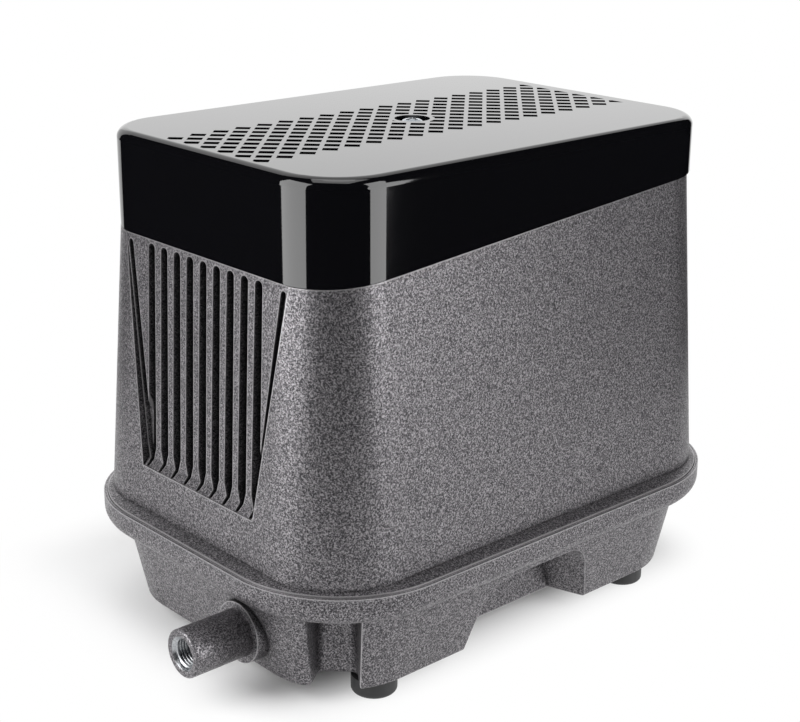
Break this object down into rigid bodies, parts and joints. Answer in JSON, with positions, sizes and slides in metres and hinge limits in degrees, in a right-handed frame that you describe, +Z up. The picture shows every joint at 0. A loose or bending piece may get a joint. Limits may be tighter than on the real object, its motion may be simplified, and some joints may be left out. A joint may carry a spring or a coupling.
{
  "type": "diaphragm air pump",
  "caption": "Linear diaphragm air pump in a cast aluminium casing with a lift-off filter lid, finned front and a G 1/4 outlet spigot.",
  "frame": {"origin": "floor level below the middle of the casing, midway between the four feet", "axes": "+Z up, -Y out of the outlet at the front, +X to the right seen from the front"},
  "size_m": [0.1848, 0.2702, 0.2144],
  "materials": {
    "gloss_black_abs": "high gloss",
    "hammertone_casting": "grey hammertone enamel on a casting",
    "black_rubber": "matt",
    "zinc_steel": "bright zinc",
    "aluminium_plate": "as cast",
    "electrical_steel": "laminated, varnished",
    "moulded_nylon": "moulded",
    "copper_wire": "enamelled copper",
    "ferrite": "sintered",
    "filter_foam": "open-cell foam",
    "brass_pole": "turned"
  },
  "bodies": {
    "root": {"base": "hammertone_casting", "buffer_bolts": "zinc_steel", "buffers": "black_rubber", "cable_grommet": "black_rubber", "case_gasket": "black_rubber", "case_screws": "zinc_steel", "core_bolts": "zinc_steel", "diaphragm_rings": "moulded_nylon", "earth_screw": "brass_pole", "feet": "black_rubber", "filter_foam": "filter_foam", "flap_pins": "zinc_steel", "foot_screws": "zinc_steel", "front_cover": "moulded_nylon", "front_diaphragm": "black_rubber", "front_frame": "aluminium_plate", "front_head": "moulded_nylon", "head_screws": "zinc_steel", "hose_clips": "zinc_steel", "housing": "hammertone_casting", "left_bobbin": "moulded_nylon", "left_coil": "copper_wire", "left_core": "electrical_steel", "outlet_hoses": "black_rubber", "outlet_spigot": "hammertone_casting", "rear_cover": "moulded_nylon", "rear_diaphragm": "black_rubber", "rear_frame": "aluminium_plate", "rear_head": "moulded_nylon", "right_bobbin": "moulded_nylon", "right_coil": "copper_wire", "right_core": "electrical_steel", "tank_gasket": "black_rubber", "tank_plate": "aluminium_plate", "tank_screws": "zinc_steel", "terminal_block": "moulded_nylon", "terminal_screws": "brass_pole", "thermal_protector": "moulded_nylon"},
    "lid": {"lid": "gloss_black_abs"},
    "lid_screw": {"lid_screw": "zinc_steel"},
    "oscillator": {"magnet_carrier": "moulded_nylon", "magnets": "ferrite", "front_stud": "zinc_steel", "rear_stud": "zinc_steel", "clamp_plates": "aluminium_plate", "clamp_nuts": "zinc_steel"},
    "front_suction_flap": {"front_suction_flap": "black_rubber"},
    "front_discharge_flap": {"front_discharge_flap": "black_rubber"},
    "rear_suction_flap": {"rear_suction_flap": "black_rubber"},
    "rear_discharge_flap": {"rear_discharge_flap": "black_rubber"}
  },
  "joints": [
    {"name": "lid_lift", "type": "slide", "parent": "root", "child": "lid", "axis": [0, 0, 1], "range_m": [0, 0.1]},
    {"name": "lid_screw_turn", "type": "hinge", "parent": "lid", "child": "lid_screw", "pos_m": [0, 0, 0.2], "axis": [0, 0, 1], "continuous": true},
    {"name": "oscillator_stroke", "type": "slide", "parent": "root", "child": "oscillator", "axis": [0, 1, 0], "range_m": [-0.003, 0.003], "stiffness_N_per_m": 6000, "deforming": ["front_diaphragm", "rear_diaphragm"]},
    {"name": "front_suction_hinge", "type": "hinge", "parent": "root", "child": "front_suction_flap", "pos_m": [0, -0.0768, 0.141], "axis": [1, 0, 0], "range_deg": [0, 10], "stiffness_Nm_per_rad": 0.002},
    {"name": "front_discharge_hinge", "type": "hinge", "parent": "root", "child": "front_discharge_flap", "pos_m": [0, -0.0867, 0.105], "axis": [-1, 0, 0], "range_deg": [0, 10], "stiffness_Nm_per_rad": 0.002},
    {"name": "rear_suction_hinge", "type": "hinge", "parent": "root", "child": "rear_suction_flap", "pos_m": [0, 0.0768, 0.141], "axis": [-1, 0, 0], "range_deg": [0, 10], "stiffness_Nm_per_rad": 0.002},
    {"name": "rear_discharge_hinge", "type": "hinge", "parent": "root", "child": "rear_discharge_flap", "pos_m": [0, 0.0867, 0.105], "axis": [1, 0, 0], "range_deg": [0, 10], "stiffness_Nm_per_rad": 0.002}
  ]
}
